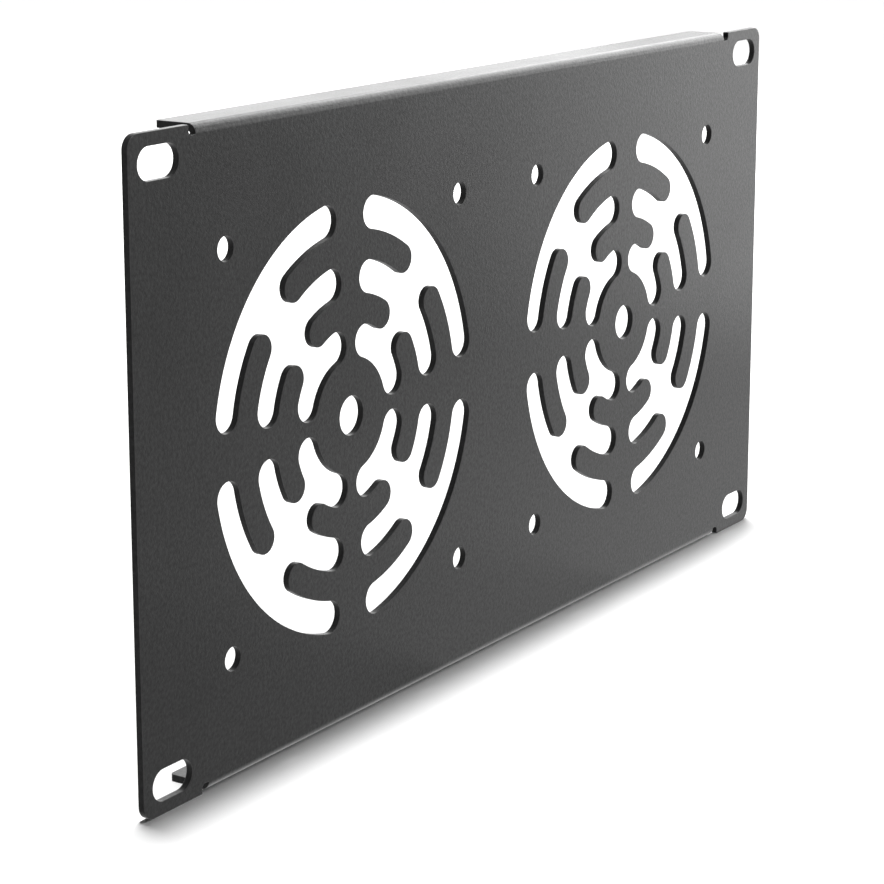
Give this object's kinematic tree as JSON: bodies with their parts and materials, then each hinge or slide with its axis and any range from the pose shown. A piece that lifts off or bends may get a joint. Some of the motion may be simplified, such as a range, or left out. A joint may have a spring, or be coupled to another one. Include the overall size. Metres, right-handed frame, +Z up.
{
  "type": "rack fan panel",
  "caption": "Flat black sheet-steel rack panel with round finger-slot fan grilles, fan screw holes, slotted ears and flanges folded to the rear.",
  "frame": {"origin": "centre of the rack slots on the rear face of the plate, the plane in which the ears meet the rack's rails", "axes": "+X along the width, to the right seen from the front; +Y to the rear, away from the front face; +Z up"},
  "size_m": [0.254, 0.01, 0.1324],
  "materials": {
    "powder_coat": "satin black powder coat with a fine grain"
  },
  "bodies": {
    "root": {"fan_panel": "powder_coat"}
  },
  "joints": []
}
